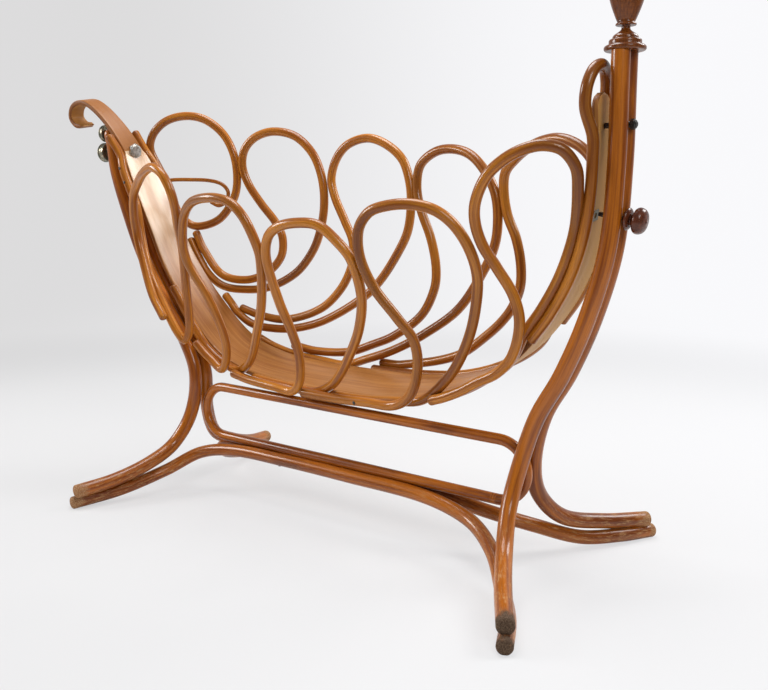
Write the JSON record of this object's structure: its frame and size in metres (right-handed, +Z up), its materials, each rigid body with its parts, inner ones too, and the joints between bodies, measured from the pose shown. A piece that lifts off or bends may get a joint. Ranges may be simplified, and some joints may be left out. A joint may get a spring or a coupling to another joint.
{
  "type": "swinging cradle on stand",
  "caption": "Cradle of bent rods that swings between two posts of a bent rod stand, with a scrolled keel board, crook loops along both sides, a lock knob and a turned finial socket.",
  "frame": {"origin": "on the floor, at the middle of the overall length and width", "axes": "+X along the cradle towards the tall post, +Y towards the raised side of the tilted basket, +Z up"},
  "size_m": [1.6168, 0.6696, 1.1543],
  "materials": {
    "bent_rod": "gloss",
    "board": "gloss",
    "dark_rod": "gloss",
    "turned": "gloss",
    "iron": "satin",
    "bronze": "satin",
    "plated": "satin"
  },
  "bodies": {
    "stand": {"leg_low_near": "bent_rod", "leg_low_far": "bent_rod", "leg_tall_near": "bent_rod", "leg_tall_far": "bent_rod", "floor_rail_near": "bent_rod", "floor_rail_far": "bent_rod", "stretcher_loop": "bent_rod", "low_post_stave": "dark_rod", "post_collar": "turned", "post_urn": "turned", "clamp_bolt_low": "bronze", "stand_screws": "iron"},
    "basket": {"keel_board": "board", "end_arch": "bent_rod", "loop_near_1": "bent_rod", "loop_near_2": "bent_rod", "loop_near_3": "bent_rod", "loop_near_4": "bent_rod", "loop_near_5": "bent_rod", "loop_far_1": "bent_rod", "loop_far_2": "bent_rod", "loop_far_3": "bent_rod", "loop_far_4": "bent_rod", "loop_far_5": "bent_rod", "side_volute": "dark_rod", "lock_plate": "plated", "basket_screws": "iron", "pivot_bolt_low": "plated", "pivot_nut_low": "bronze", "pivot_bolt_tall": "iron", "pivot_nut_tall": "iron"},
    "lock": {"lock_shaft": "iron", "lock_collar": "turned", "lock_knob": "turned"}
  },
  "joints": [
    {"name": "swing", "type": "hinge", "parent": "stand", "child": "basket", "pos_m": [0.0671, 0, 0.859], "axis": [1, 0, 0], "range_deg": [-35, 15]},
    {"name": "lock_pull", "type": "slide", "parent": "stand", "child": "lock", "axis": [0.9877, 0, -0.1564], "range_m": [0, 0.022]}
  ]
}
